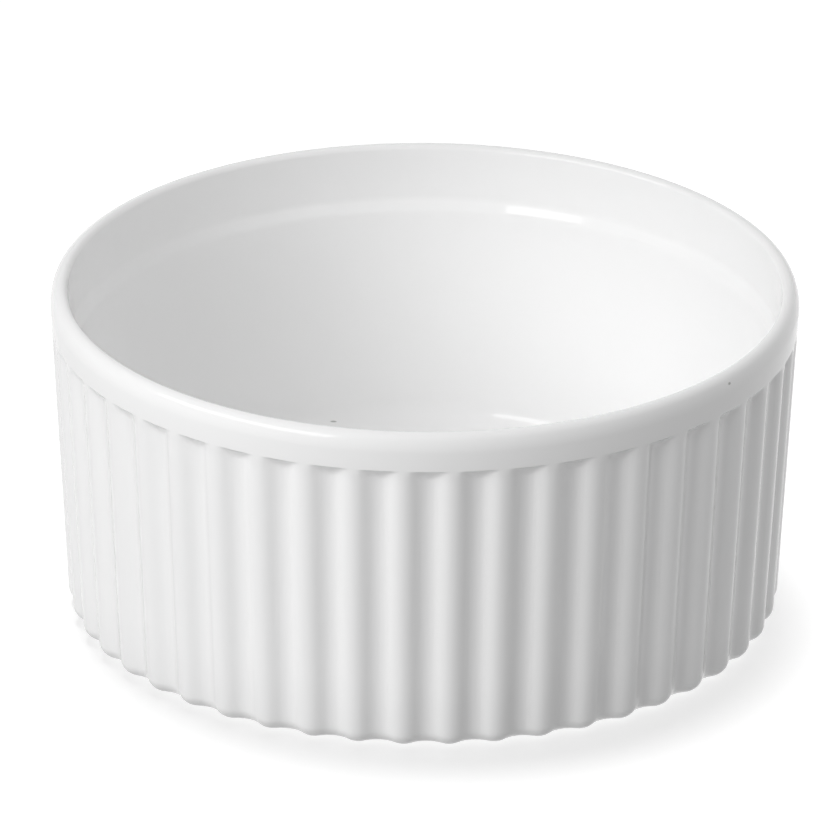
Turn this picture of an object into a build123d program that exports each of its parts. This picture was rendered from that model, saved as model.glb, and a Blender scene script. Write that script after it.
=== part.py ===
from build123d import *
import os
from math import acos, atan2, cos, degrees, pi, radians, sin, sqrt, tan

# A round fluted porcelain ramekin: a fired clay body, the glass glaze over it, and the patch of
# glaze inside its bare foot ring. All sizes are in millimetres and are those of the glazed
# surface unless they say otherwise. Z is up and the foot ring stands on Z = 0.

# Overall size
height = 55.2
lip_radius = 60.0
lip_thickness = 2.75

# Outside of the lip: a slanted shoulder, rounded into the band below and the crown above
shoulder_drop = 1.9
shoulder_width = 0.95
shoulder_radius = 4.0
crown_radius = 1.4
lip_inner_radius = 0.9

# Outside wall: a plain band above the flutes, from which the ribs stand back by a hair
wall_radius_at_foot = 57.5
band_height = 6.0
rib_setback = 0.05

# Flutes: a hood that arcs out from behind them to the band closes them above, and they are
# rounded under at the base edge
flute_count = 48
flute_depth = 1.2
hood_radius = 4.0
hood_lead = 0.3
base_edge_radius = 2.7

# The base edge keeps below this share of the ribs' own radius, so that each rib stays round there
base_round_share = 0.9

# Steps that the wall's outline takes round the base edge
arc_steps = 4

# The hood runs past the band by this much, and the open space above it past the lip
hood_clearance = 0.3
overrun = 3.0

# Inside: a collar below the lip, a sloping ledge, then the wall down to the floor
collar_height = 9.3
collar_taper = 0.5
ledge_drop = 2.0
ledge_width = 0.9
ledge_radius = 3.0
wall_thickness_at_foot = 4.3
floor_height = 4.4
floor_corner_radius = 7.5

# Underside: the bare foot ring, set in from the drawn-in flutes, and the recess inside it
foot_height = 0.3
foot_setback = 0.35
foot_width = 3.2
foot_edge_chamfer = 0.1
recess_height = 1.6
recess_corner_radius = 0.5

# Glaze
glaze_thickness = 0.25

# A rounded corner of the upright section takes at most this share of each straight beside it
corner_share = 0.495

# Derived sizes
half_pitch_angle = pi / flute_count
flute_top = height - band_height
foot_outer_radius = wall_radius_at_foot - rib_setback - flute_depth - base_edge_radius - foot_setback
foot_inner_radius = foot_outer_radius - foot_width
recess_radius = foot_inner_radius - glaze_thickness
collar_top_radius = lip_radius - lip_thickness
collar_radius = collar_top_radius - collar_taper
ledge_top = height - collar_height
ledge_inner_radius = collar_radius - ledge_width
floor_radius = wall_radius_at_foot - wall_thickness_at_foot
wall_taper = (lip_radius - wall_radius_at_foot) / (height - shoulder_drop - foot_height)


def rib_radius(z):
    """Radius of the rib crests at a height."""
    return wall_radius_at_foot - rib_setback + wall_taper * (z - foot_height)


def flute_arc_radius(crest_radius):
    """Radius that makes a rib and a flute equal arcs, tangent where they meet."""
    mean_diameter = 2 * crest_radius - flute_depth
    spread = (mean_diameter * sin(half_pitch_angle / 2)) ** 2
    closeness = cos(half_pitch_angle / 2) ** 2
    remainder = 1 - closeness
    linear = closeness * flute_depth
    constant = spread + closeness * flute_depth**2
    return (sqrt(linear**2 + remainder * constant) - linear) / (2 * remainder)


def fluted_outline(z, inset):
    """The wall's outline at one height: ribs and flutes in turn, all tangent arcs, moved in."""
    crest_radius = rib_radius(z)
    arc_radius = flute_arc_radius(crest_radius)
    rib_centre = crest_radius - arc_radius
    flute_centre = crest_radius - flute_depth + arc_radius
    across = flute_centre * sin(half_pitch_angle)
    along = flute_centre * cos(half_pitch_angle) - rib_centre
    rib_half = degrees(atan2(across, along))
    flute_half = rib_half - degrees(half_pitch_angle)
    flute_start = 180 + degrees(half_pitch_angle) - flute_half
    flute_point = (flute_centre * cos(half_pitch_angle), across)
    with BuildSketch(Plane.XY.offset(z)) as outline:
        with BuildLine() as wall_line:
            CenterArc((rib_centre, 0), arc_radius - inset, -rib_half, 2 * rib_half)
            CenterArc(flute_point, arc_radius + inset, flute_start, 2 * flute_half)
            one_pitch = wall_line.edges()
            add([
                arc.rotate(Axis.Z, step * degrees(2 * half_pitch_angle))
                for step in range(1, flute_count)
                for arc in one_pitch
            ])
        make_face()
    return outline.sketch


def hood_space(inset):
    """The space over the flutes: an arc out from behind them to the band, then open past the lip."""
    hood_turn = acos(1 - (flute_depth + hood_lead) / hood_radius)
    band_radius = rib_radius(flute_top) + rib_setback
    centre_radius = band_radius + hood_radius * cos(hood_turn)
    hood_bottom = flute_top - hood_radius * sin(hood_turn)
    arc_radius = hood_radius + inset
    arc_turn = acos((centre_radius - band_radius - hood_clearance) / arc_radius)
    arc_top = hood_bottom + arc_radius * sin(arc_turn)
    open_radius = lip_radius + overrun
    open_top = height + overrun
    with BuildPart() as space:
        with BuildSketch(Plane.XZ):
            with BuildLine():
                CenterArc((centre_radius, hood_bottom), arc_radius, 180, -degrees(arc_turn))
                Polyline(
                    (centre_radius - arc_radius * cos(arc_turn), arc_top),
                    (open_radius, arc_top),
                    (open_radius, open_top),
                    (0, open_top),
                    (0, hood_bottom),
                    (centre_radius - arc_radius, hood_bottom),
                )
            make_face()
        revolve(axis=Axis.Z)
    return space.part


def fluted_envelope(inset):
    """What the outside stays within: rounded base edge, fluted wall, then the hood and open space."""
    base_round = min(base_edge_radius, base_round_share * flute_arc_radius(wall_radius_at_foot)) - inset
    wall_bottom = foot_height + inset + base_round
    base_angles = [(pi / 2) * step / arc_steps for step in range(arc_steps + 1)]
    with BuildPart() as envelope:
        # Base edge: the outline draws in along a quarter circle
        loft([
            fluted_outline(wall_bottom - base_round * sin(angle), inset + base_round * (1 - cos(angle)))
            for angle in base_angles
        ])
        # Straight tapering wall, up into the open space
        loft([fluted_outline(wall_bottom, inset), fluted_outline(height, inset)], ruled=True)
        add(hood_space(inset))
    return envelope.part


def fitted_radii(points, radii):
    """The corner radii of a section, each kept to what the straights beside it have room for."""
    fitted = []
    for before, corner, after, radius in zip(points, points[1:], points[2:], radii):
        run_in = Vector(corner) - Vector(before)
        run_out = Vector(after) - Vector(corner)
        room = corner_share * min(run_in.length, run_out.length)
        fitted.append(min(radius, room / tan(radians(run_in.get_angle(run_out)) / 2)))
    return fitted


def ramekin_form(inset):
    """The whole dish without its foot ring, with every surface moved in by the inset."""
    # Half of the upright section, from the axis under the recess round to the axis on the floor
    section_points = [
        (0, recess_height),
        (recess_radius, recess_height),
        (recess_radius, foot_height),
        (wall_radius_at_foot, foot_height),
        (lip_radius, height - shoulder_drop),
        (lip_radius - shoulder_width, height),
        (collar_top_radius, height),
        (collar_radius, ledge_top),
        (ledge_inner_radius, ledge_top - ledge_drop),
        (floor_radius, floor_height),
        (0, floor_height),
    ]
    corner_radii = [
        recess_corner_radius,
        0,
        0,
        shoulder_radius,
        crown_radius,
        lip_inner_radius,
        ledge_radius,
        ledge_radius,
        floor_corner_radius,
    ]
    with BuildPart() as form:
        with BuildSketch(Plane.XZ):
            with BuildLine():
                FilletPolyline(*section_points, radius=fitted_radii(section_points, corner_radii))
                mirror(about=Plane.YZ)
            make_face()
            if inset:
                offset(amount=-inset, kind=Kind.INTERSECTION)
            split(bisect_by=Plane.YZ)
        revolve(axis=Axis.Z)
        add(fluted_envelope(inset), mode=Mode.INTERSECT)
    return form.part


os.makedirs("parts", exist_ok=True)

# Fired clay body with its bare foot ring
with BuildPart() as porcelain_body:
    add(ramekin_form(glaze_thickness))
    with BuildSketch(Plane.XZ) as foot_section:
        with Locations((foot_inner_radius, 0)):
            Rectangle(foot_width, recess_height, align=(Align.MIN, Align.MIN))
        chamfer(foot_section.vertices().group_by(Axis.Y)[0], foot_edge_chamfer)
    revolve(axis=Axis.Z)
porcelain_body.part.label = "porcelain_body"
export_step(porcelain_body.part, "parts/porcelain_body.step")

# Glaze over the clay: the foot ring parts it into the coat and the patch in the recess
with BuildPart() as glaze:
    add(ramekin_form(0))
    add(porcelain_body.part, mode=Mode.SUBTRACT)
patch_solid, coat_solid = glaze.solids().sort_by(SortBy.VOLUME)

with BuildPart() as glaze_coat:
    add(coat_solid)
glaze_coat.part.label = "glaze_coat"
export_step(glaze_coat.part, "parts/glaze_coat.step")

with BuildPart() as foot_recess_glaze:
    add(patch_solid)
foot_recess_glaze.part.label = "foot_recess_glaze"
export_step(foot_recess_glaze.part, "parts/foot_recess_glaze.step")
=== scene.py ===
import math
from collections import namedtuple

import bmesh
import bpy
from bpy.props import FloatProperty, FloatVectorProperty, IntProperty, PointerProperty
from mathutils import Matrix, Vector


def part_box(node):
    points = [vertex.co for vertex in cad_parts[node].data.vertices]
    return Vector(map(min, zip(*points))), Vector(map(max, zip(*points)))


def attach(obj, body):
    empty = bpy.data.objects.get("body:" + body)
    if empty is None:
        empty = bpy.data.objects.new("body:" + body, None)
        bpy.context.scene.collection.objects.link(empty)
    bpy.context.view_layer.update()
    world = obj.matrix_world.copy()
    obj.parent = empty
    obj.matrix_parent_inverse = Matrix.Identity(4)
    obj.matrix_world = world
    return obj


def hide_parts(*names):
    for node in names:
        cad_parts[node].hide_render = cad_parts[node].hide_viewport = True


bl_info = {
    "name": "Fluted Ramekin",
    "version": (1, 0, 0),
    "blender": (4, 5, 0),
    "location": "3D View > Sidebar > Ramekin",
    "description": "A glazed porcelain ramekin with a bare foot ring, on a white sweep",
    "category": "Add Mesh",
}

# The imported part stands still; everything below is made round it, in metres
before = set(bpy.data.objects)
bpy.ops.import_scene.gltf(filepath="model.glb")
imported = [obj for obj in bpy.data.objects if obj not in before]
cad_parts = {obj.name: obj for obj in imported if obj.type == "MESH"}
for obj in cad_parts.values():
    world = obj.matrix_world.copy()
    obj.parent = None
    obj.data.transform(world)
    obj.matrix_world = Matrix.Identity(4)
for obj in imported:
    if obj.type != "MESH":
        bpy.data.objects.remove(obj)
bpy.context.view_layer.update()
coat_low, coat_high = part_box("glaze_coat")

# A millimetre in Blender's metres, and the decimals that lengths show in the sidebar
MM = 0.001
LENGTH_DECIMALS = 5

# One corner of a turned section: its radius, its height and how far it is rounded
Corner = namedtuple("Corner", "radius height rounding")


def linear(hex_colour):
    """An sRGB hex colour as the linear red, green and blue that shaders and properties take."""
    shares = [int(hex_colour[i:i + 2], 16) / 255 for i in (1, 3, 5)]
    return tuple(c / 12.92 if c <= 0.04045 else ((c + 0.055) / 1.055) ** 2.4 for c in shares)


def length(name, description, default):
    """A length property in metres."""
    return FloatProperty(
        name=name, description=description, default=default, unit="LENGTH", precision=LENGTH_DECIMALS
    )


def colour(name, description, hex_colour):
    """A colour property, given as sRGB hex."""
    return FloatVectorProperty(
        name=name, description=description, subtype="COLOR", default=linear(hex_colour), min=0.0, max=1.0
    )


def level(name, description, default, unit="NONE"):
    """A strength or power property, which can't go below zero."""
    return FloatProperty(name=name, description=description, default=default, min=0.0, unit=unit)


def rotation(name, description, degrees):
    """An angle property, given in degrees."""
    return FloatProperty(
        name=name, description=description, default=math.radians(degrees), unit="ROTATION"
    )


class DishSizes(bpy.types.PropertyGroup):
    """Sizes of the dish over its glaze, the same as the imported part's."""

    lip_radius: length("Lip radius", "Outside radius that the wall reaches at the lip", 60.0 * MM)
    lip_thickness: length("Lip thickness", "Width of the lip seen from above", 2.75 * MM)
    shoulder_drop: length("Shoulder drop", "Height of the slanted shoulder outside the lip", 1.9 * MM)
    shoulder_width: length("Shoulder width", "How far the shoulder leans in", 0.95 * MM)
    shoulder_rounding: length("Shoulder rounding", "Radius between band and shoulder", 4.0 * MM)
    crown_rounding: length("Crown rounding", "Radius on the outer side of the lip's top", 1.4 * MM)
    lip_inner_rounding: length("Inner lip rounding", "Radius on the inner side of the lip's top", 0.9 * MM)
    wall_radius_at_foot: length("Wall radius at foot", "Radius of the rib crests, carried down", 57.5 * MM)
    collar_height: length("Collar height", "From the lip down to the ledge inside", 9.3 * MM)
    collar_taper: length("Collar taper", "How far the collar closes in on its way down", 0.5 * MM)
    ledge_drop: length("Ledge drop", "Height of the sloping ledge inside", 2.0 * MM)
    ledge_width: length("Ledge width", "How far the ledge steps in", 0.9 * MM)
    ledge_rounding: length("Ledge rounding", "Radius above and below the ledge", 3.0 * MM)
    wall_thickness_at_foot: length("Wall thickness", "Wall and rib together at the floor", 4.3 * MM)
    floor_height: length("Floor height", "Top of the floor above the table", 4.4 * MM)
    floor_rounding: length("Floor rounding", "Radius between inside wall and floor", 7.5 * MM)
    foot_width: length("Foot width", "Width of the bare foot ring", 3.2 * MM)
    recess_height: length("Recess height", "Underside of the glaze in the foot recess", 1.6 * MM)
    recess_rounding: length("Recess rounding", "Radius at the rim of the foot recess", 0.5 * MM)
    glaze_thickness: length("Glaze thickness", "Thickness of the fired glaze", 0.25 * MM)


class FluteSizes(bpy.types.PropertyGroup):
    """Sizes of the ribs and flutes round the wall."""

    count: IntProperty(name="Flutes", description="Flutes round the wall", default=48, min=3)
    depth: length("Depth", "From a rib's crest to the bottom of a flute", 1.2 * MM)
    band_height: length("Band height", "Plain band between the flutes and the top of the lip", 6.0 * MM)
    hood_radius: length("Hood radius", "Radius on which the hood over the flutes arcs out", 4.0 * MM)
    hood_lead: length("Hood lead", "How far behind the flutes the hood starts", 0.3 * MM)
    blend_height: length("Blend height", "Height below the band in which the ribs swell out", 2.0 * MM)
    blend_radius: length("Blend radius", "Radius on which the ribs swell out into the band", 10.0 * MM)
    base_edge_radius: length("Base edge radius", "Radius on which ribs and flutes turn under", 2.7 * MM)
    edge_softness: length("Edge softness", "How far the glaze rounds the edge of a flute's end", 0.3 * MM)
    fold_softness: length("Fold softness", "How far the glaze fills the fold under the hood", 0.15 * MM)


class FinishLook(bpy.types.PropertyGroup):
    """Colours of the porcelain's two finishes."""

    glaze: colour("Glaze", "White glaze over white clay", "#F9F9F9")
    specks: colour("Specks", "Clay that the glaze didn't close over", "#BCBCBA")
    bisque: colour("Bare clay", "Fired clay without glaze", "#E6E0D6")
    bisque_scuffs: colour("Scuffs", "Grey rubbed into the bare clay by shelves and tables", "#B9B2A8")


class StageLook(bpy.types.PropertyGroup):
    """The white sweep, the lamps and the camera."""

    floor_shade: colour("Floor shade", "Part of the white sweep that takes a shadow", "#CBCBCB")
    key_watts: level("Key softbox", "Power of the key softbox, which the panels follow", 2.5, "POWER")
    ambient: level("Ambient", "Light that the white room gives the dish", 0.0)
    floor_sun: level("Floor sun", "Lamp that gives the dish its shadow on the floor", 1.85)
    floor_glow: level("Floor glow", "What lifts the floor to white for the camera and in reflections", 0.7)
    floor_bounce: level("Floor bounce", "Light that the floor gives the dish", 0.43)
    elevation: rotation("Camera elevation", "Camera above the horizon", 25.6)
    distance: length("Camera distance", "From the middle of the dish's base to the camera", 1303.5 * MM)


def add_node(tree, kind, settings=None, inputs=None, links=None):
    """Adds a node, sets its own settings and its sockets, and links sockets to other nodes' outputs."""
    node = tree.nodes.new(kind)
    for name, value in (settings or {}).items():
        setattr(node, name, value)
    for name, value in (inputs or {}).items():
        node.inputs[name].default_value = value
    for name, (source, output) in (links or {}).items():
        tree.links.new(source.outputs[output], node.inputs[name])
    return node


def new_material(name):
    """An empty node material and its tree."""
    material = bpy.data.materials.new(name)
    material.use_nodes = True
    material.node_tree.nodes.clear()
    return material, material.node_tree


# Glaze is glass, and the clay under it has nearly the index of glass too
GLASS_IOR = 1.5
# Fired glaze is almost as smooth as a window, and the bare clay is dull
GLAZE_ROUGHNESS = 0.04
CLAY_ROUGHNESS = 0.75
# Dipped glaze settles in shallow waves, which bend long reflections a little
WAVE_WIDTH = 14 * MM
WAVE_HEIGHT = 0.03 * MM
# The mould's ribs leave upright lines, which run nearly the whole height of the flutes
MOULD_LINE_SPACING = 1 * MM
MOULD_LINE_LENGTH = 40 * MM
MOULD_LINE_HEIGHT = 0.02 * MM
# Scuffs from shelves lie on the bare clay in patches; the noise below the first level is scuffed, above the
# second it is clean
SCUFF_LENGTH = 5 * MM
SCUFFED_BELOW = 0.35
CLEAN_ABOVE = 0.55
# Real grit is under 0.1 mm; it is drawn 0.4 mm wide so that it shows
GRIT_WIDTH = 0.4 * MM
GRIT_HEIGHT = 0.03 * MM
GRIT_STRENGTH = 0.6


def glossy_glaze(tree, place, relief, tint):
    """Finishes a glaze: white clay under clear glass. Links give the relief under its waves and its tint."""
    waves = add_node(
        tree,
        "ShaderNodeTexNoise",
        inputs={"Scale": 1 / WAVE_WIDTH, "Detail": 1.0},
        links={"Vector": (place, "Object")},
    )
    swell = add_node(
        tree,
        "ShaderNodeBump",
        inputs={"Strength": 1.0, "Distance": WAVE_HEIGHT},
        links={"Height": (waves, "Fac"), **relief},
    )
    shader = add_node(
        tree,
        "ShaderNodeBsdfPrincipled",
        inputs={
            "Base Color": (*bpy.context.scene.ramekin_finish.glaze, 1.0),
            "Roughness": GLAZE_ROUGHNESS,
            "IOR": GLASS_IOR,
        },
        links={"Normal": (swell, "Normal"), **tint},
    )
    add_node(tree, "ShaderNodeOutputMaterial", links={"Surface": (shader, "BSDF")})


# Specks that the glaze didn't close over, each with its middle and how far it reaches along X, Y and Z: a
# pinhole on the shoulder, and a short streak where wall and floor meet
Speck = namedtuple("Speck", "place reach")
SPECKS = (
    Speck((49.46 * MM, -33.42 * MM, 53.83 * MM), (0.42 * MM, 0.42 * MM, 0.27 * MM)),
    Speck((-17.88 * MM, 49.27 * MM, 7.82 * MM), (1.9 * MM, 0.22 * MM, 0.17 * MM)),
)
# A speck is all grey out to this share of its reach, and fades out over the rest
SPECK_CORE = 0.5


def speckled_tint(tree, place):
    """The glaze's own white, turned grey within each speck's reach."""
    look = bpy.context.scene.ramekin_finish
    nearest = None
    for speck in SPECKS:
        spot = add_node(
            tree,
            "ShaderNodeMapping",
            {"vector_type": "TEXTURE"},
            {"Location": speck.place, "Scale": speck.reach},
            {"Vector": (place, "Object")},
        )
        away = add_node(tree, "ShaderNodeVectorMath", {"operation": "LENGTH"}, links={0: (spot, "Vector")})
        if nearest:
            away = add_node(
                tree,
                "ShaderNodeMath",
                {"operation": "MINIMUM"},
                links={0: (nearest, "Value"), 1: (away, "Value")},
            )
        nearest = away
    tint = add_node(tree, "ShaderNodeValToRGB", links={"Fac": (nearest, "Value")})
    tint.color_ramp.elements[0].position = SPECK_CORE
    tint.color_ramp.elements[0].color = (*look.specks, 1.0)
    tint.color_ramp.elements[1].position = 1.0
    tint.color_ramp.elements[1].color = (*look.glaze, 1.0)
    return tint


def white_glaze():
    """Transparent porcelain glaze, dipped and fired glossy over smooth white clay, with two grey specks."""
    # To the eye it is an even white with lamps in it as thin bright streaks, a little bent by the waves
    material, tree = new_material("white_porcelain_glaze_dipped_and_fired")
    place = add_node(tree, "ShaderNodeTexCoord")
    glossy_glaze(tree, place, {}, {"Base Color": (speckled_tint(tree, place), "Color")})
    return material


def flute_glaze():
    """The same glaze over the flutes, where lines left upright by the mould still show through it."""
    # To the eye it breaks each reflection along a rib into fine upright threads
    material, tree = new_material("white_porcelain_glaze_over_moulded_flutes")
    place = add_node(tree, "ShaderNodeTexCoord")
    upright = add_node(
        tree,
        "ShaderNodeMapping",
        inputs={"Scale": (1 / MOULD_LINE_SPACING, 1 / MOULD_LINE_SPACING, 1 / MOULD_LINE_LENGTH)},
        links={"Vector": (place, "Object")},
    )
    lines = add_node(
        tree,
        "ShaderNodeTexNoise",
        inputs={"Scale": 1.0, "Detail": 1.0},
        links={"Vector": (upright, "Vector")},
    )
    relief = add_node(
        tree,
        "ShaderNodeBump",
        inputs={"Strength": 1.0, "Distance": MOULD_LINE_HEIGHT},
        links={"Height": (lines, "Fac")},
    )
    glossy_glaze(tree, place, {"Normal": (relief, "Normal")}, {})
    return material


def bare_clay():
    """Fired porcelain clay, wiped clean of glaze and rubbed smooth on the foot ring."""
    # To the eye it is a dull, slightly warm ring without reflections, greyed where it was rubbed
    material, tree = new_material("bare_porcelain_clay_sponged_and_fired")
    look = bpy.context.scene.ramekin_finish
    place = add_node(tree, "ShaderNodeTexCoord")
    scuffs = add_node(
        tree,
        "ShaderNodeTexNoise",
        inputs={"Scale": 1 / SCUFF_LENGTH, "Detail": 4.0},
        links={"Vector": (place, "Object")},
    )
    patches = add_node(tree, "ShaderNodeValToRGB", links={"Fac": (scuffs, "Fac")})
    patches.color_ramp.elements[0].position = SCUFFED_BELOW
    patches.color_ramp.elements[0].color = (*look.bisque_scuffs, 1.0)
    patches.color_ramp.elements[1].position = CLEAN_ABOVE
    patches.color_ramp.elements[1].color = (*look.bisque, 1.0)
    grit = add_node(
        tree,
        "ShaderNodeTexNoise",
        inputs={"Scale": 1 / GRIT_WIDTH, "Detail": 2.0},
        links={"Vector": (place, "Object")},
    )
    tooth = add_node(
        tree,
        "ShaderNodeBump",
        inputs={"Strength": GRIT_STRENGTH, "Distance": GRIT_HEIGHT},
        links={"Height": (grit, "Fac")},
    )
    shader = add_node(
        tree,
        "ShaderNodeBsdfPrincipled",
        inputs={"Roughness": CLAY_ROUGHNESS, "IOR": GLASS_IOR},
        links={"Base Color": (patches, "Color"), "Normal": (tooth, "Normal")},
    )
    add_node(tree, "ShaderNodeOutputMaterial", links={"Surface": (shader, "BSDF")})
    return material


def material_named(name, make):
    """The material of that name, made on its first use."""
    return bpy.data.materials.get(name) or make()


# Mesh density: columns to one pitch, pitches to the recess, and the turn of one step round a corner
COLUMNS_PER_PITCH = 12
RECESS_PITCHES = 16
CORNER_STEP = math.radians(9)
LEAST_CORNER_STEPS = 2
# Greatest row heights: on straights, where the ribs swell, and from the hood's edge up to the plain band
LONG_ROW = 10 * MM
BLEND_ROW = 0.3 * MM
HOOD_EDGE_ROW = 0.1 * MM
# The finest rows start this far below the flutes' top
HOOD_EDGE_HEIGHT = 0.8 * MM
# Even where a flute is shallower than this, the edge of its end is rounded as if it were this deep
LEAST_OPENING = 0.1 * MM
# Points nearer than this are one point, and edges that turn further than this are shown sharp
MERGE_DISTANCE = 0.001 * MM
SHARP_ANGLE = math.radians(50)

# The fluted wall's faces take the second of the glaze coat's two materials
FLUTE_SLOT = 1


def draw_section(mesh, corners, row_height):
    """Draws a section as edges in the XZ plane, rounds its corners and cuts its straights into rows."""
    places = [Vector((corner.radius, 0, corner.height)) for corner in corners]
    points = [mesh.verts.new(place) for place in places]
    for pair in zip(points, points[1:]):
        mesh.edges.new(pair)
    neighbours = zip(places, places[1:], places[2:])
    for (before, place, after), point, corner in zip(neighbours, points[1:], corners[1:]):
        if corner.rounding:
            turn = (place - before).angle(after - place)
            bmesh.ops.bevel(
                mesh,
                geom=[point],
                offset=corner.rounding * math.tan(turn / 2),
                offset_type="OFFSET",
                segments=max(LEAST_CORNER_STEPS, math.ceil(turn / CORNER_STEP)),
                profile=0.5,
                affect="VERTICES",
                material=-1,
            )
    straights = [edge for edge in mesh.edges if edge.is_wire]
    for edge in straights:
        rows = math.ceil(edge.calc_length() / row_height)
        if rows > 1:
            bmesh.ops.subdivide_edges(mesh, edges=[edge], cuts=rows - 1)


def turn_section(mesh, pitch):
    """Turns the loose chain of edges in the mesh through one pitch about the Z axis."""
    chain = [edge for edge in mesh.edges if edge.is_wire]
    points = list({vert for edge in chain for vert in edge.verts})
    bmesh.ops.spin(
        mesh, geom=points + chain, cent=(0, 0, 0), axis=(0, 0, 1), angle=pitch, steps=COLUMNS_PER_PITCH
    )


def repeat_round(mesh, count):
    """Copies the one pitch that is there round the Z axis until the count is full."""
    one_pitch = mesh.verts[:] + mesh.edges[:] + mesh.faces[:]
    for step in range(1, count):
        copied = bmesh.ops.duplicate(mesh, geom=one_pitch)["geom"]
        verts = [part for part in copied if isinstance(part, bmesh.types.BMVert)]
        bmesh.ops.rotate(mesh, verts=verts, matrix=Matrix.Rotation(step * 2 * math.pi / count, 3, "Z"))


def soft_least(first, second, softness):
    """The lesser of two lengths, rounded off where they come within the softness of each other."""
    gap = abs(first - second)
    if gap >= softness:
        return min(first, second)
    return min(first, second) - (softness - gap) ** 2 / (4 * softness)


class FluteShape:
    """The fluted wall as a radius at each angle and height: ribs and flutes are equal tangent arcs.

    Upwards it has the rounded base edge, the straight ribs, the part in which they swell out, and the band.
    """

    def __init__(self, dish, flutes, top, foot):
        self.flutes = flutes
        self.half_pitch = math.pi / flutes.count
        self.foot = foot
        self.foot_radius = dish.wall_radius_at_foot
        self.taper = (dish.lip_radius - dish.wall_radius_at_foot) / (top - dish.shoulder_drop - foot)
        self.base_round = flutes.base_edge_radius
        self.wall_bottom = foot + self.base_round
        self.flute_top = top - flutes.band_height
        self.wall_top = self.flute_top - flutes.blend_height
        self.hood_turn = math.acos(1.0 - (flutes.depth + flutes.hood_lead) / flutes.hood_radius)

    def crest_radius(self, height):
        """Radius of the rib crests at a height."""
        return self.foot_radius + self.taper * (height - self.foot)

    def inset(self, height):
        """How far the outline is drawn in at the base edge, or swells out (below zero) below the band."""
        if height < self.wall_bottom:
            drop = min(self.wall_bottom - height, self.base_round)
            return self.base_round - math.sqrt(self.base_round**2 - drop**2)
        rise = max(0.0, min(height, self.flute_top) - self.wall_top)
        return math.sqrt(self.flutes.blend_radius**2 - rise**2) - self.flutes.blend_radius

    def hood_radius(self, height):
        """Radius of the hood over the flutes, which arcs out from behind them to the band."""
        arc = self.flutes.hood_radius
        rise = min(height - self.flute_top + arc * math.sin(self.hood_turn), arc)
        start = self.crest_radius(self.flute_top) - self.flutes.depth - self.flutes.hood_lead
        return start + arc - math.sqrt(arc**2 - rise**2)

    def outline_radius(self, from_rib, height, inset):
        """Radius of the outline at an angle from the nearest rib's crest."""
        crest, depth, half = self.crest_radius(height), self.flutes.depth, self.half_pitch
        spread = ((2 * crest - depth) * math.sin(half / 2)) ** 2
        closeness = math.cos(half / 2) ** 2
        constant = spread + closeness * depth**2
        remainder = 1 - closeness
        linear_term = closeness * depth
        arc = (math.sqrt(linear_term**2 + remainder * constant) - linear_term) / (2 * remainder)
        rib_centre = crest - arc
        flute_centre = crest - depth + arc
        rib_half = math.atan2(flute_centre * math.sin(half), flute_centre * math.cos(half) - rib_centre)
        rib_arc = arc - inset
        flute_arc = arc + inset
        meeting = math.atan2(rib_arc * math.sin(rib_half), rib_centre + rib_arc * math.cos(rib_half))
        if from_rib < meeting:
            across = rib_centre * math.sin(from_rib)
            return rib_centre * math.cos(from_rib) + math.sqrt(rib_arc**2 - across**2)
        across = flute_centre * math.sin(half - from_rib)
        return flute_centre * math.cos(half - from_rib) - math.sqrt(flute_arc**2 - across**2)

    def press(self, vert):
        """Moves one vertex of the plain wall in to the fluted wall."""
        plain = math.hypot(vert.co.x, vert.co.y)
        pitch = 2 * self.half_pitch
        angle = math.atan2(vert.co.y, vert.co.x)
        from_rib = abs((angle + self.half_pitch) % pitch - self.half_pitch)
        height = vert.co.z
        fluted = self.outline_radius(from_rib, height, self.inset(height))
        if height > self.wall_top:
            # Glaze fills the fold under the hood, and rounds the hood's edge the more the deeper the flute is
            fluted = -soft_least(-fluted, -self.hood_radius(height), self.flutes.fold_softness)
            open_share = max(plain - fluted, LEAST_OPENING) / self.flutes.depth
            fluted = soft_least(plain, fluted, self.flutes.edge_softness * open_share)
        vert.co.x *= fluted / plain
        vert.co.y *= fluted / plain


def finish_skin(mesh, thickness):
    """Closes seams and poles, turns the faces outwards, gives the skin its thickness and smooths it."""
    bmesh.ops.remove_doubles(mesh, verts=mesh.verts, dist=MERGE_DISTANCE)
    bmesh.ops.recalc_face_normals(mesh, faces=mesh.faces)
    bmesh.ops.solidify(mesh, geom=mesh.faces, thickness=thickness)
    for face in mesh.faces:
        face.smooth = True
    for edge in mesh.edges:
        edge.smooth = edge.calc_face_angle(0.0) < SHARP_ANGLE


def add_piece(name, mesh, materials, node):
    """Makes a piece from its mesh. It rides on the dish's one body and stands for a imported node."""
    data = bpy.data.meshes.new(name)
    mesh.to_mesh(data)
    mesh.free()
    for material in materials:
        data.materials.append(material)
    piece = bpy.data.objects.new(name, data)
    bpy.context.scene.collection.objects.link(piece)
    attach(piece, "root")
    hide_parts(node)


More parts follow.
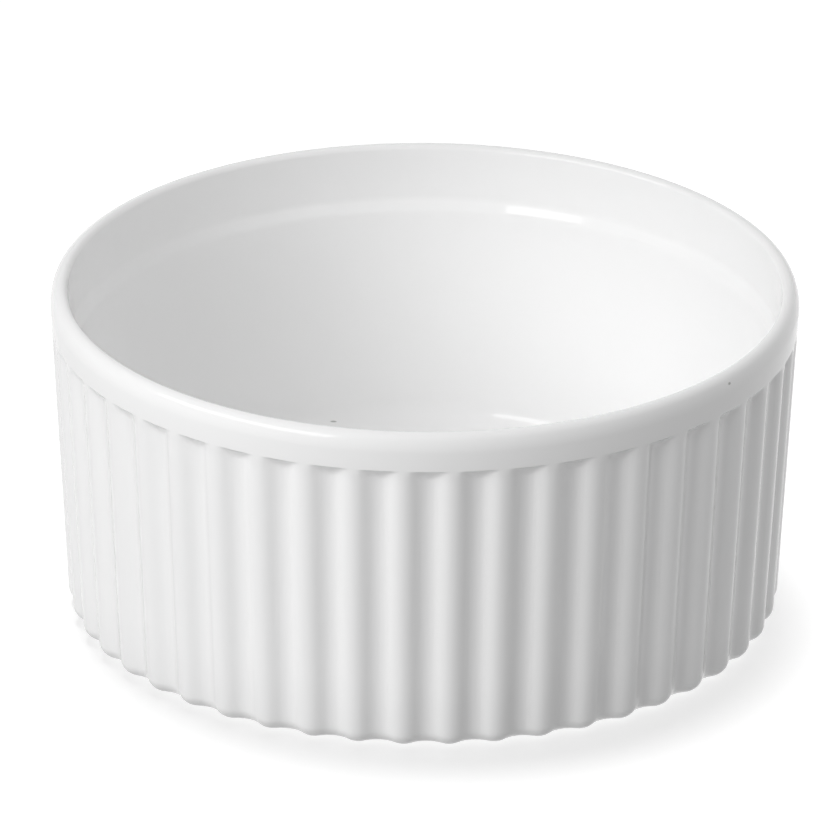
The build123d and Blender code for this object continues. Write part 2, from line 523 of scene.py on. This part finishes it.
class RAMEKIN_OT_glaze_coat(bpy.types.Operator):
    """Make the glaze over the inside, the lip and the fluted wall"""

    bl_idname = "ramekin.glaze_coat"
    bl_label = "Glaze Coat"

    def execute(self, context):
        dish, flutes = context.scene.ramekin_dish, context.scene.ramekin_flutes
        top = coat_high.z
        foot = coat_low.z
        shape = FluteShape(dish, flutes, top, foot)
        pitch = 2 * math.pi / flutes.count
        edge_start = shape.flute_top - HOOD_EDGE_HEIGHT
        band_start = shape.flute_top + flutes.edge_softness
        foot_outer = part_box("foot_recess_glaze")[1].x + dish.foot_width
        mesh = bmesh.new()
        # Base edge and fluted wall, up to where the ribs start to swell
        draw_section(
            mesh,
            [
                Corner(foot_outer, foot, 0),
                Corner(dish.wall_radius_at_foot, foot, flutes.base_edge_radius),
                Corner(shape.crest_radius(shape.wall_top), shape.wall_top, 0),
            ],
            LONG_ROW,
        )
        turn_section(mesh, pitch)
        # Flute ends, with finer rows from the hood's edge to the start of the plain band
        draw_section(
            mesh,
            [
                Corner(shape.crest_radius(shape.wall_top), shape.wall_top, 0),
                Corner(shape.crest_radius(edge_start), edge_start, 0),
            ],
            BLEND_ROW,
        )
        turn_section(mesh, pitch)
        draw_section(
            mesh,
            [
                Corner(shape.crest_radius(edge_start), edge_start, 0),
                Corner(shape.crest_radius(band_start), band_start, 0),
            ],
            HOOD_EDGE_ROW,
        )
        turn_section(mesh, pitch)
        # Press the flutes in, but for the bottom edge, which stays round against the foot ring
        for vert in mesh.verts:
            if math.hypot(vert.co.x, vert.co.y) > foot_outer + MERGE_DISTANCE:
                shape.press(vert)
        for face in mesh.faces:
            face.material_index = FLUTE_SLOT
        # Band, lip, collar, ledge, inside wall and floor
        collar_top = dish.lip_radius - dish.lip_thickness
        collar_foot = collar_top - dish.collar_taper
        ledge_top = top - dish.collar_height
        ledge_foot = collar_foot - dish.ledge_width
        floor_radius = dish.wall_radius_at_foot - dish.wall_thickness_at_foot
        draw_section(
            mesh,
            [
                Corner(shape.crest_radius(band_start), band_start, 0),
                Corner(dish.lip_radius, top - dish.shoulder_drop, dish.shoulder_rounding),
                Corner(dish.lip_radius - dish.shoulder_width, top, dish.crown_rounding),
                Corner(collar_top, top, dish.lip_inner_rounding),
                Corner(collar_foot, ledge_top, dish.ledge_rounding),
                Corner(ledge_foot, ledge_top - dish.ledge_drop, dish.ledge_rounding),
                Corner(floor_radius, dish.floor_height, dish.floor_rounding),
                Corner(0, dish.floor_height, 0),
            ],
            LONG_ROW,
        )
        turn_section(mesh, pitch)
        repeat_round(mesh, flutes.count)
        finish_skin(mesh, dish.glaze_thickness)
        smooth = material_named("white_porcelain_glaze_dipped_and_fired", white_glaze)
        fluted = material_named("white_porcelain_glaze_over_moulded_flutes", flute_glaze)
        add_piece("glaze_over_dish", mesh, [smooth, fluted], "glaze_coat")
        return {"FINISHED"}


class RAMEKIN_OT_foot_recess_glaze(bpy.types.Operator):
    """Make the patch of glaze inside the foot ring"""

    bl_idname = "ramekin.foot_recess_glaze"
    bl_label = "Foot Recess Glaze"

    def execute(self, context):
        dish = context.scene.ramekin_dish
        low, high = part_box("foot_recess_glaze")
        rim = high.x - dish.glaze_thickness
        mesh = bmesh.new()
        draw_section(
            mesh,
            [
                Corner(0, dish.recess_height, 0),
                Corner(rim, dish.recess_height, dish.recess_rounding),
                Corner(rim, low.z, 0),
            ],
            LONG_ROW,
        )
        turn_section(mesh, 2 * math.pi / RECESS_PITCHES)
        repeat_round(mesh, RECESS_PITCHES)
        finish_skin(mesh, dish.glaze_thickness)
        glaze = material_named("white_porcelain_glaze_dipped_and_fired", white_glaze)
        add_piece("glaze_in_foot_recess", mesh, [glaze], "foot_recess_glaze")
        return {"FINISHED"}


class RAMEKIN_OT_clay_body(bpy.types.Operator):
    """Give the imported clay body its bare fired finish, which shows on the foot ring"""

    bl_idname = "ramekin.clay_body"
    bl_label = "Clay Body"

    def execute(self, context):
        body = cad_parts["porcelain_body"]
        clay = material_named("bare_porcelain_clay_sponged_and_fired", bare_clay)
        body.data.materials.clear()
        body.data.materials.append(clay)
        return {"FINISHED"}


# The camera looks this far to the right of and above the middle of the dish's base, and is rolled by a third
# of a degree, in radians
AIM_RIGHT = -1.47 * MM
AIM_UP = 31.8 * MM
CAMERA_ROLL = 0.0061
# The camera and the lamps are turned this far round the dish, which places its ribs in the view
CAMERA_TURN = math.radians(3.05)
# Focal length and sensor width in millimetres, as cameras take them, and how far the camera sees in metres
LENS = 347.0
SENSOR = 36.0
CLIP_END = 100.0

# Lamps that face the dish. Each has its azimuth from the camera, positive to its right, its elevation above
# the horizon, its size in metres and its power as a share of the key's. The key softbox, long and low, shows
# in the glaze as a streak on each ledge and corner; the panels only brighten the dish.
Lamp = namedtuple("Lamp", "name azimuth elevation width height power_share shows")
LAMP_DISTANCE = 0.9
DISH_LAMPS = (
    Lamp("key_softbox", math.radians(-57), math.radians(28), 0.92, 0.28, 1.0, True),
    Lamp("left_panel", math.radians(-43.5), math.radians(39.5), 0.75, 0.9, 1.76, False),
    Lamp("front_panel", math.radians(-3), math.radians(45), 0.34, 0.48, 0.5, False),
    Lamp("right_panel", math.radians(116), math.radians(30), 0.95, 1.04, 1.48, False),
    Lamp("panel_behind", math.radians(188), math.radians(42), 1.6, 0.8, 0.84, False),
)
# The floor has a sun of its own, high behind the dish, whose soft shadow falls forward and to the right
FLOOR_SUN_AZIMUTH = math.radians(198)
FLOOR_SUN_ELEVATION = math.radians(81)
FLOOR_SUN_ANGLE = math.radians(16)
# Half the floor's side, in metres
FLOOR_HALF = 4.0
# The floor lies this far below the foot ring, so that the two don't share a plane
FLOOR_DROP = 0.05 * MM
# Light of the room and the floor
WHITE = (1.0, 1.0, 1.0, 1.0)


def direction(azimuth, elevation):
    """Unit vector from the dish: azimuth 0 towards the camera's side, positive to its right."""
    turn = azimuth + CAMERA_TURN
    return Vector((
        math.cos(elevation) * math.sin(turn), -math.cos(elevation) * math.cos(turn), math.sin(elevation)
    ))


def add_camera(stage):
    """The camera, at the photograph's angle."""
    data = bpy.data.cameras.new("camera")
    data.lens = LENS
    data.sensor_width = SENSOR
    data.clip_end = CLIP_END
    camera = bpy.data.objects.new("camera", data)
    bpy.context.scene.collection.objects.link(camera)
    place = direction(0.0, stage.elevation) * stage.distance + Vector((0, 0, coat_low.z))
    right = direction(math.pi / 2, 0.0)
    aim = right * AIM_RIGHT + Vector((0, 0, AIM_UP))
    look = (aim - place).to_track_quat("-Z", "Y")
    roll = Matrix.Rotation(CAMERA_ROLL, 4, "Z")
    camera.matrix_world = Matrix.Translation(place) @ look.to_matrix().to_4x4() @ roll
    bpy.context.scene.camera = camera


def linked_floor(name, floor, state):
    """A collection that tells a lamp whether to include or exclude the floor."""
    collection = bpy.data.collections.new(name)
    collection.objects.link(floor)
    collection.collection_objects[0].light_linking.link_state = state
    return collection


def place_light(data, azimuth, elevation, receivers):
    """Stands a lamp round the dish, facing it, to light the receivers that it is given."""
    light = bpy.data.objects.new(data.name, data)
    light.light_linking.receiver_collection = receivers
    bpy.context.scene.collection.objects.link(light)
    middle = Vector((0, 0, coat_high.z / 2))
    place = middle + direction(azimuth, elevation) * LAMP_DISTANCE
    facing = (middle - place).to_track_quat("-Z", "Y")
    light.matrix_world = Matrix.Translation(place) @ facing.to_matrix().to_4x4()
    return light


def add_lamp(lamp, watts, receivers):
    """A rectangular lamp, seen in the glaze only if it is one that shows."""
    data = bpy.data.lights.new(lamp.name, "AREA")
    data.shape = "RECTANGLE"
    data.size = lamp.width
    data.size_y = lamp.height
    data.energy = watts
    light = place_light(data, lamp.azimuth, lamp.elevation, receivers)
    light.visible_glossy = lamp.shows


def add_floor_sun(strength, receivers):
    """The wide sun that gives the floor its soft shadow."""
    data = bpy.data.lights.new("floor_sun", "SUN")
    data.angle = FLOOR_SUN_ANGLE
    data.energy = strength
    light = place_light(data, FLOOR_SUN_AZIMUTH, FLOOR_SUN_ELEVATION, receivers)
    light.visible_glossy = False


def white_to_the_eye(tree):
    """A value of 1 for camera, glossy and transmission rays, and 0 for the rays that light the dish."""
    rays = add_node(tree, "ShaderNodeLightPath")
    seen = add_node(
        tree,
        "ShaderNodeMath",
        {"operation": "MAXIMUM"},
        links={0: (rays, "Is Camera Ray"), 1: (rays, "Is Glossy Ray")},
    )
    return add_node(
        tree,
        "ShaderNodeMath",
        {"operation": "MAXIMUM"},
        links={0: (seen, "Value"), 1: (rays, "Is Transmission Ray")},
    )


def white_room(stage):
    """A world that is white to the eye and in reflections, and lights the dish at the ambient level."""
    world = bpy.data.worlds.new("white_room")
    world.use_nodes = True
    tree = world.node_tree
    tree.nodes.clear()
    seen = white_to_the_eye(tree)
    strength = add_node(
        tree,
        "ShaderNodeMapRange",
        inputs={"To Min": stage.ambient, "To Max": 1.0},
        links={"Value": (seen, "Value")},
    )
    room = add_node(
        tree, "ShaderNodeBackground", inputs={"Color": WHITE}, links={"Strength": (strength, "Result")}
    )
    add_node(tree, "ShaderNodeOutputWorld", links={"Surface": (room, "Background")})
    bpy.context.scene.world = world


def white_sweep(stage):
    """Matte white paper: it lights the dish evenly, and is white to the camera but for the shadow."""
    material, tree = new_material("white_paper_sweep")
    eye = white_to_the_eye(tree)
    paper = add_node(tree, "ShaderNodeBsdfDiffuse", inputs={"Color": (*stage.floor_shade, 1.0)})
    glow = add_node(tree, "ShaderNodeEmission", inputs={"Color": WHITE, "Strength": stage.floor_glow})
    bounce = add_node(tree, "ShaderNodeEmission", inputs={"Color": WHITE, "Strength": stage.floor_bounce})
    seen = add_node(tree, "ShaderNodeAddShader", links={0: (paper, "BSDF"), 1: (glow, "Emission")})
    shown = add_node(
        tree,
        "ShaderNodeMixShader",
        links={0: (eye, "Value"), 1: (bounce, "Emission"), 2: (seen, "Shader")},
    )
    add_node(tree, "ShaderNodeOutputMaterial", links={"Surface": (shown, "Shader")})
    return material


class RAMEKIN_OT_stage(bpy.types.Operator):
    """Make the white floor, the lamps, the white room and the camera"""

    bl_idname = "ramekin.stage"
    bl_label = "Stage"

    def execute(self, context):
        stage = context.scene.ramekin_stage
        mesh = bmesh.new()
        # Floor
        bmesh.ops.create_grid(mesh, x_segments=1, y_segments=1, size=FLOOR_HALF)
        bmesh.ops.translate(mesh, verts=mesh.verts, vec=(0, 0, -FLOOR_DROP))
        data = bpy.data.meshes.new("floor")
        mesh.to_mesh(data)
        mesh.free()
        data.materials.append(white_sweep(stage))
        floor = bpy.data.objects.new("floor", data)
        context.scene.collection.objects.link(floor)
        # Lamps, parted between the dish and the floor, and the white room
        dish_only = linked_floor("all_but_the_floor", floor, "EXCLUDE")
        floor_only = linked_floor("only_the_floor", floor, "INCLUDE")
        for lamp in DISH_LAMPS:
            add_lamp(lamp, stage.key_watts * lamp.power_share, dish_only)
        add_floor_sun(stage.floor_sun, floor_only)
        white_room(stage)
        add_camera(stage)
        context.scene.view_settings.view_transform = "Standard"
        return {"FINISHED"}


class RAMEKIN_PT_sidebar(bpy.types.Panel):
    """Lists the ramekin's pieces, in the order that they are made, and their sizes and looks"""

    bl_idname = "RAMEKIN_PT_sidebar"
    bl_label = "Ramekin"
    bl_space_type = "VIEW_3D"
    bl_region_type = "UI"
    bl_category = "Ramekin"

    def draw(self, context):
        column = self.layout.column()
        for operator in OPERATORS:
            column.operator(operator.bl_idname)
        for name, group in GROUPS.items():
            box = self.layout.box()
            for size_or_look in group.__annotations__:
                box.prop(getattr(context.scene, name), size_or_look)


OPERATORS = (RAMEKIN_OT_stage, RAMEKIN_OT_glaze_coat, RAMEKIN_OT_foot_recess_glaze, RAMEKIN_OT_clay_body)
GROUPS = {
    "ramekin_dish": DishSizes,
    "ramekin_flutes": FluteSizes,
    "ramekin_finish": FinishLook,
    "ramekin_stage": StageLook,
}


def register():
    """Registers the sizes and looks, the operators and the panel."""
    for group in GROUPS.values():
        bpy.utils.register_class(group)
    for name, group in GROUPS.items():
        setattr(bpy.types.Scene, name, PointerProperty(type=group))
    for operator in OPERATORS:
        bpy.utils.register_class(operator)
    bpy.utils.register_class(RAMEKIN_PT_sidebar)


def unregister():
    """Takes away what register added, last first."""
    bpy.utils.unregister_class(RAMEKIN_PT_sidebar)
    for operator in reversed(OPERATORS):
        bpy.utils.unregister_class(operator)
    for name in GROUPS:
        delattr(bpy.types.Scene, name)
    for group in GROUPS.values():
        bpy.utils.unregister_class(group)


def main():
    """Makes the stage and the dish."""
    register()
    bpy.ops.ramekin.stage()
    bpy.ops.ramekin.glaze_coat()
    bpy.ops.ramekin.foot_recess_glaze()
    bpy.ops.ramekin.clay_body()


if __name__ == "__main__":
    main()
